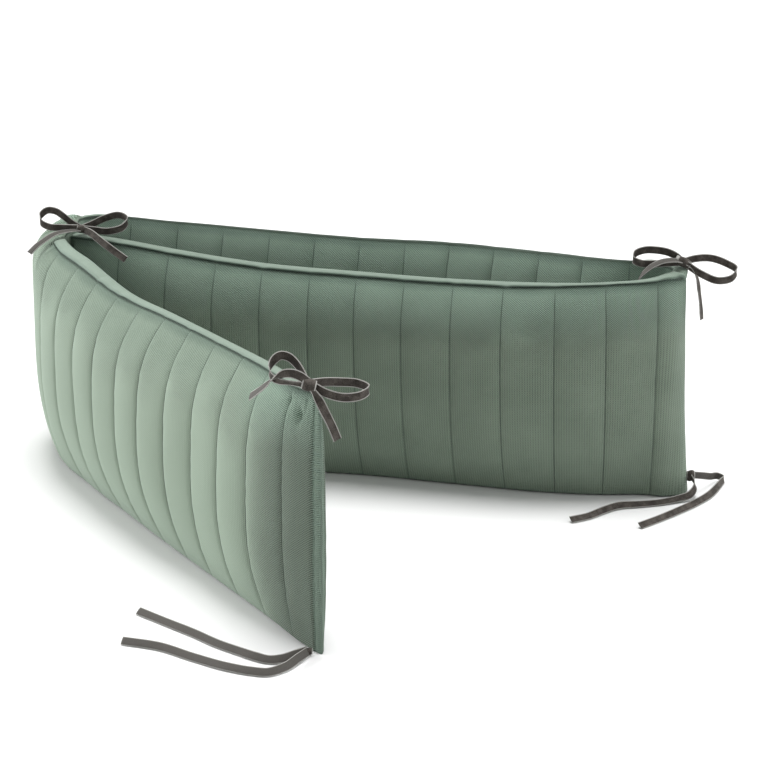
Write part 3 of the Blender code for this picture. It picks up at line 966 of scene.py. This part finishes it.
def ring_stops():
    """The stops round a section: its part, the face's side, the share of the part, and the ring mark."""
    stops = [("face", 1, share, share) for share in even_ends(OUTER_STEPS)]
    stops += [("band", 0, step / BAND_STEPS, 1.0 + step / BAND_STEPS) for step in range(BAND_STEPS + 1)]
    stops += [("face", -1, 1.0 - share, 2.0 + share) for share in even_ends(INNER_STEPS)]
    stops += [("foot", 0, step / FOOT_STEPS, 3.0 + step / FOOT_STEPS) for step in range(1, FOOT_STEPS)]
    return stops


STOPS = ring_stops()


def band_point(share, back):
    """The band's across and drop at a share of the way over it, as over the back panel by a share."""
    across, drop = read_rows(BAND_PROFILE, share)
    back_across, back_drop = read_rows(BACK_PROFILE, share)
    return mix(across, back_across, back), mix(drop, back_drop, back)


def uneven(kind, line, up, side):
    """One kind of unevenness at a place on a face, about -1 to 1."""
    turns, rises, outer_seed, inner_seed = kind
    seed = outer_seed if side == 1 else inner_seed
    return noise.noise(Vector((line * turns, up * rises, seed)))


def ruffle(form, share, side):
    """How far a face stands out by its ripples, puckers, gathers, pleats and dimples."""
    up = share * HEIGHT
    down = (1.0 - share) * HEIGHT
    gather = uneven(GATHER, form.line, up, side)
    stand = RIPPLE_HEIGHT * uneven(RIPPLE, form.line, up, side)
    stand += PUCKER_HEIGHT * uneven(PUCKER, form.line, up, side) * bell(form.off_line, PUCKER_REACH)
    stand += GATHER_HEIGHT * gather * bell(down, GATHER_REACH)
    ridge = abs(math.cos(math.pi * PLEATS_A_LINE * form.line + PLEAT_WANDER * gather))
    stand += PLEAT_DEPTH * mix(PLEAT_CREASE, PLEAT_RIDGE, ridge) * form.gathered * bell(down, PLEAT_REACH)
    for at_line, at_share, at_side, reach, tall, depth in DIMPLES:
        if side == at_side:
            stand += depth * bell(form.line - at_line, reach) * bell(share - at_share, tall)
    return stand


def form_at(line, tall):
    """What is the same all round the section at a line: the route's columns and more."""
    form = SimpleNamespace(line=line, **route_at(line))
    channel_share = abs(line - round(line))
    slim = mix(END_SLIM, 1.0, ease(line, 0.0, 1.0))
    band_full = read_rows(BAND_FULLNESS, line)[0]
    form.crest = (HEIGHT + form.rise) * tall
    form.off_line = channel_share * LINE_SPACE
    form.puffed = form.puff * (1.0 - abs(1.0 - 2.0 * channel_share) ** PILLOW_POWER)
    form.groove = GROOVE_DEPTH * bell(form.off_line, GROOVE_WIDTH)
    form.rolled = between(line, ROLL_RISE, ROLL_FALL)
    form.plump = between(line, PLUMP_RISE, PLUMP_FALL)
    form.back = between(line, BACK_RISE, BACK_FALL)
    form.gathered = max(strong * bell(line - at_line, reach) for at_line, reach, strong in GATHERED)
    form.half_foot = EDGE_HALF * slim
    form.foot_round = FOOT_ROUND * form.half_foot
    form.half_top = EDGE_TOP * slim * band_full
    form.band_drop = BAND_DROP * band_full ** 2
    form.seam_drop = form.band_drop * band_point(0.0, form.back)[1]
    form.scallop = BAND_SCALLOP * bell(form.off_line, SCALLOP_WIDTH)
    form.lump = sum(depth * bell(line - at_line, reach) for at_line, reach, depth in BAND_LUMPS)
    return form


def band_place(form, share):
    """A place on the band: how far across, how high, and how far it leans with the crest."""
    across, drop = band_point(share, form.back)
    wide = across * form.half_top
    high = form.crest - drop * form.band_drop
    high -= form.scallop * (1.0 - share) - form.lump * (LUMP_FADE - share)
    rolled_wide = -mix(ROLL_PAST, ROLL_EDGE * form.half_top, share)
    rolled_high = form.crest - ROLL_DROP * share
    return mix(wide, rolled_wide, form.rolled), mix(high, rolled_high, form.rolled), -form.crest_in


def plump_place(form, share, half, groove, stand):
    """The outer face where a tie draws it full over the crest: how far across, and how high."""
    turned = max(0.0, (share - ROLL_SHARE) / (1.0 - ROLL_SHARE)) * math.pi / 2.0
    full = 1.0 if share > BELLY_AT else belly_share(share)
    reach = half + (form.belly_out + form.puffed) * full - groove
    end = mix(form.half_top * PLUMP_EDGE, -ROLL_PAST, form.rolled) - form.crest_in
    bend = 1.0 - max(math.cos(turned), 0.0) ** ROLL_SQUARE
    tip = form.crest - form.seam_drop * (1.0 - form.rolled)
    high = min(share, ROLL_SHARE) * form.crest
    high += (tip - ROLL_SHARE * form.crest + stand) * math.sin(turned) ** ROLL_SQUARE
    return mix(reach, end, bend) + stand * math.cos(turned), high


def face_place(form, share, side):
    """A place on the outer face, side 1, or the inner, side -1: how far across and high, and its lean."""
    belly, seam_drop, tuck = form.belly_out, form.seam_drop, SEAM_DEPTH
    if side == -1:
        belly, seam_drop, tuck = form.belly_in, INNER_SEAM_DROP, SEAM_DEPTH * INNER_TUCK
    top = form.crest - seam_drop
    full = belly_share(share)
    stand = ruffle(form, share, side)
    groove = form.groove * min(1.0, full * GROOVE_FADE)
    half = mix(form.half_foot, form.half_top, share ** 2)
    swell = (belly + form.puffed) * full - groove
    swell -= tuck * bell((1.0 - share) * top, SEAM_WIDTH)
    swell += stand * min(1.0, full * RUFFLE_FADE)
    drawn = max(0.0, (share - BELLY_AT) / (1.0 - BELLY_AT)) ** 2
    across = side * (half + swell)
    high = share * top
    lean = form.foot_out * (1.0 - share) - form.crest_in * drawn
    if side == 1 and form.plump > 0.0:
        plump_across, plump_high = plump_place(form, share, half, groove, stand)
        across = mix(across, plump_across, form.plump)
        high = mix(high, plump_high, form.plump)
        lean = mix(lean, form.foot_out * (1.0 - share), form.plump)
    under_round = max(0.0, 1.0 - high / form.foot_round)
    across -= side * form.foot_round * (1.0 - math.sqrt(1.0 - under_round * under_round))
    return across, high, lean


def section(line, width=1.0, out=0.0, tall=1.0):
    """The points of one section, from the foot up the outer face, over the band, down and under."""
    form = form_at(line, tall)
    heading = heading_at(line)
    outer = Vector((-heading.y, heading.x, 0.0))
    middle = Vector((form.x, form.y, 0.0)) + heading * out
    skew = FOOT_SKEW * bell(line - FOOT_SKEW_AT, FOOT_SKEW_REACH) / form.crest
    points = []
    for part, side, share, mark in STOPS:
        if part == "face":
            across, high, lean = face_place(form, share, side)
        elif part == "band":
            across, high, lean = band_place(form, share)
        else:
            across = (form.half_foot - form.foot_round) * (2.0 * share - 1.0)
            high, lean = 0.0, form.foot_out
        lag = heading * skew * (form.crest - high)
        points.append(middle - lag + outer * (across * width + lean) + Vector((0.0, 0.0, high)))
    return points


def cover_stations():
    """Line number, width, reach past the end and height of each section, from end to end."""
    last = float(STITCH_LINES)
    near = [(0.0, width, -out * END_ROUND, tall) for out, width, tall in reversed(END_PROFILE)]
    far = [(last, width, out * END_ROUND, tall) for out, width, tall in END_PROFILE]
    fine_cuts = [step / GATHERED_CUTS for step in range(GATHERED_CUTS)]
    between_ends = [
        (line + cut, 1.0, 0.0, 1.0)
        for line in range(STITCH_LINES)
        for cut in (fine_cuts if line in GATHERED_CHANNELS else CHANNEL_CUTS)
        if line + cut > 0.0
    ]
    return near + between_ends + far


def strip_lengths(stations):
    """How far along the strip each section is, for the cloth's own measure."""
    lengths = [0.0]
    for before, here in zip(stations, stations[1:]):
        old, new = route_at(before[0]), route_at(here[0])
        gap = math.dist((old["x"], old["y"]), (new["x"], new["y"])) + abs(here[2] - before[2])
        lengths.append(lengths[-1] + gap)
    return lengths


def girths():
    """How far round each stop is from the foot, on a section with the common belly."""
    points = []
    for part, side, share, mark in STOPS:
        if part == "face":
            points.append((side * (EDGE_HALF + COMMON_BELLY * belly_share(share)), share * HEIGHT))
        elif part == "band":
            across, drop = band_point(share, 0.0)
            points.append((across * EDGE_TOP, HEIGHT - drop * BAND_DROP))
        else:
            points.append((EDGE_HALF * (2.0 * share - 1.0), 0.0))
    reach = [0.0]
    for before, here in zip(points, points[1:] + points[:1]):
        reach.append(reach[-1] + math.dist(before, here))
    return reach


def build_cover(material):
    """Loft the cover: a grid whose columns run round the sections, closed underneath and at its ends."""
    stations = cover_stations()
    sections = [section(*station) for station in stations]
    lengths = strip_lengths(stations)
    reach = girths()
    marks = [mark for part, side, share, mark in STOPS] + [4.0]
    bm, cells = cloth_grid(len(STOPS), len(stations) - 1)
    lay_uv(bm, cells, "cloth", lambda column, row: (lengths[row], reach[column]))
    lay_uv(bm, cells, "sewing", lambda column, row: (stations[row][0], marks[column]))
    for vert, (column, row) in cells.items():
        vert.co = sections[row][column % len(STOPS)]
    close_up(bm)
    return finish_mesh("pad_cover", bm, [material])


# ---------------------------------------------------------------- ribbons


def ribbon_stations(rows):
    """Places and leans along a ribbon, RIBBON_STEP apart, on a smooth curve through its rows."""
    keyed = [(0.0, *rows[0])]
    for before, here in zip(rows, rows[1:]):
        keyed.append((keyed[-1][0] + math.dist(before[:3], here[:3]), *here))
    steps = round(keyed[-1][0] / RIBBON_STEP)
    return [read_rows(keyed, keyed[-1][0] * step / steps) for step in range(steps + 1)]


def ribbon_frames(stations):
    """The place, the direction across and the upper side at each station of a ribbon."""
    frames = []
    last = len(stations) - 1
    for index, (x, y, z, lean) in enumerate(stations):
        before = Vector(stations[max(index - 1, 0)][:3])
        after = Vector(stations[min(index + 1, last)][:3])
        along = (after - before).normalized()
        level = along.cross(Vector((0.0, 0.0, 1.0))).normalized()
        raised = level.cross(along)
        angle = math.radians(lean)
        across = level * math.cos(angle) + raised * math.sin(angle)
        frames.append((Vector((x, y, z)), across, along.cross(across)))
    return frames


def build_ribbon(name, rows, materials):
    """One length of ribbon, a little cupped, with its pile, its back and its edges."""
    stations = ribbon_stations(rows)
    frames = ribbon_frames(stations)
    last = len(stations) - 1
    length = sum(math.dist(before[:3], here[:3]) for before, here in zip(stations, stations[1:]))
    bm, cells = cloth_grid(RIBBON_ACROSS, last)
    lay_uv(
        bm, cells, "cloth", lambda column, row: (column / RIBBON_ACROSS * RIBBON_WIDTH, row / last * length)
    )
    for vert, (column, row) in cells.items():
        place, across, upper = frames[row]
        off_middle = column / RIBBON_ACROSS - 0.5
        cup = RIBBON_CUP * (1.0 - (2.0 * off_middle) ** 2)
        vert.co = place + across * off_middle * RIBBON_WIDTH + upper * cup
    item = finish_mesh(name, bm, materials)
    thicken = item.modifiers.new("thickness", "SOLIDIFY")
    thicken.thickness = RIBBON_THICKNESS
    thicken.offset = 0.0
    thicken.material_offset = 1
    thicken.material_offset_rim = 2
    item["length"] = length
    return item


def squared(value):
    """A sine or cosine that gives a rounded square instead of a circle."""
    return math.copysign(abs(value) ** KNOT_SQUARE, value)


def build_knot(name, size, place, tilt, materials):
    """The turn of ribbon that holds a bow, or that covers where the ribbons are sewn on."""
    long, deep, tall = size
    bm, cells = cloth_grid(KNOT_ACROSS, KNOT_ROUND)
    around = math.pi * tall / KNOT_ROUND
    lay_uv(bm, cells, "cloth", lambda column, row: (column / KNOT_ACROSS * RIBBON_WIDTH, row * around))
    turn = Matrix.Rotation(math.radians(tilt), 3, "Y")
    for vert, (column, row) in cells.items():
        across = column / KNOT_ACROSS
        angle = 2.0 * math.pi * row / KNOT_ROUND
        waist = 1.0 - KNOT_WAIST * (2.0 * across - 1.0) ** 2
        crease = 1.0 + KNOT_CREASE * math.sin(angle * KNOT_CREASES + across * KNOT_TWIST)
        level = squared(math.cos(angle)) * deep / 2.0 * waist * crease
        raised = squared(math.sin(angle)) * tall / 2.0 * waist * crease
        vert.co = turn @ Vector(((across - 0.5) * long, level, raised)) + Vector(place)
    close_up(bm)
    return finish_mesh(name, bm, materials)


# ---------------------------------------------------------------- the scene

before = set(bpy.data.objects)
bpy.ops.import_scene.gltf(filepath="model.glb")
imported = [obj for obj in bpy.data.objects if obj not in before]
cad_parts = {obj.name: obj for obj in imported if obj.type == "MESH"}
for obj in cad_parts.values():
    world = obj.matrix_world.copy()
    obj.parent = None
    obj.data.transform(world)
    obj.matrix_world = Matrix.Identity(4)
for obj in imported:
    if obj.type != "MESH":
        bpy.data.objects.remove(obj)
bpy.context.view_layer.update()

add_camera()
for light in LIGHTS:
    add_sun(*light)
add_air()
bpy.context.scene.view_settings.view_transform = "Standard"

paper = bmesh.new()
bmesh.ops.create_grid(paper, x_segments=1, y_segments=1, size=PAPER_SIZE)
floor = finish_mesh("studio_floor", paper, [make_floor_paper()])

waffle = make_waffle()
velvet = make_velvet()
satin = make_satin()
edge = make_edge()

cover = build_cover(waffle)
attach(cover, "root")
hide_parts("pad")

# The loops show velvet inside and out, as in the photograph, and only the tails a paler back
for name, node, size, place, tilt, ribbons, held in TIES:
    knot = build_knot(f"{name}_knot", size, place, tilt, [velvet])
    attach(knot, "root")
    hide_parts(node)
    for ribbon_name, rows in ribbons.items():
        back = velvet if ribbon_name.endswith("loop") else satin
        ribbon = build_ribbon(f"{name}_{ribbon_name}", rows, [velvet, back, edge])
        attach(ribbon, "root")
        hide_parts(node)
